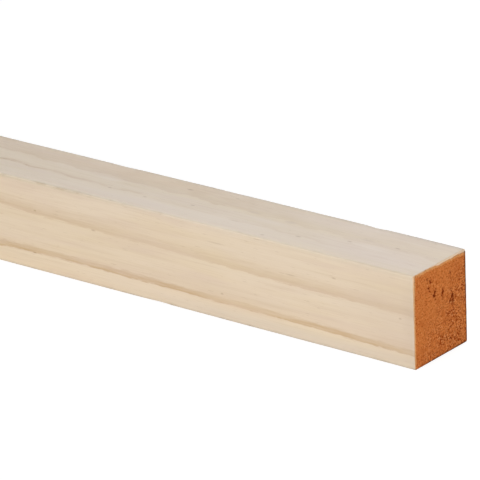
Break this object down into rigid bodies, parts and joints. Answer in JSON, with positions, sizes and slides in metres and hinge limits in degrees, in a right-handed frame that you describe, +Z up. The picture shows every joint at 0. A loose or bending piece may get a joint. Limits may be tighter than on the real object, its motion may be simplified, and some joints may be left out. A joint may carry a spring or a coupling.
{
  "type": "timber batten",
  "caption": "Straight length of planed pale softwood, nearly square in section, with eased arrises and one end coated in orange colour-code paint.",
  "frame": {"origin": "middle of the bottom face", "axes": "+X along the grain towards the painted end, +Y across the narrower dimension of the section, +Z up"},
  "size_m": [0.91, 0.04, 0.045],
  "materials": {
    "pine": "planed, unsealed, with straight grain and widely spaced growth rings",
    "end_paint": "thin orange end-seal paint on sawn end grain, dull, with open pits"
  },
  "bodies": {
    "root": {"batten": "pine"}
  },
  "joints": []
}
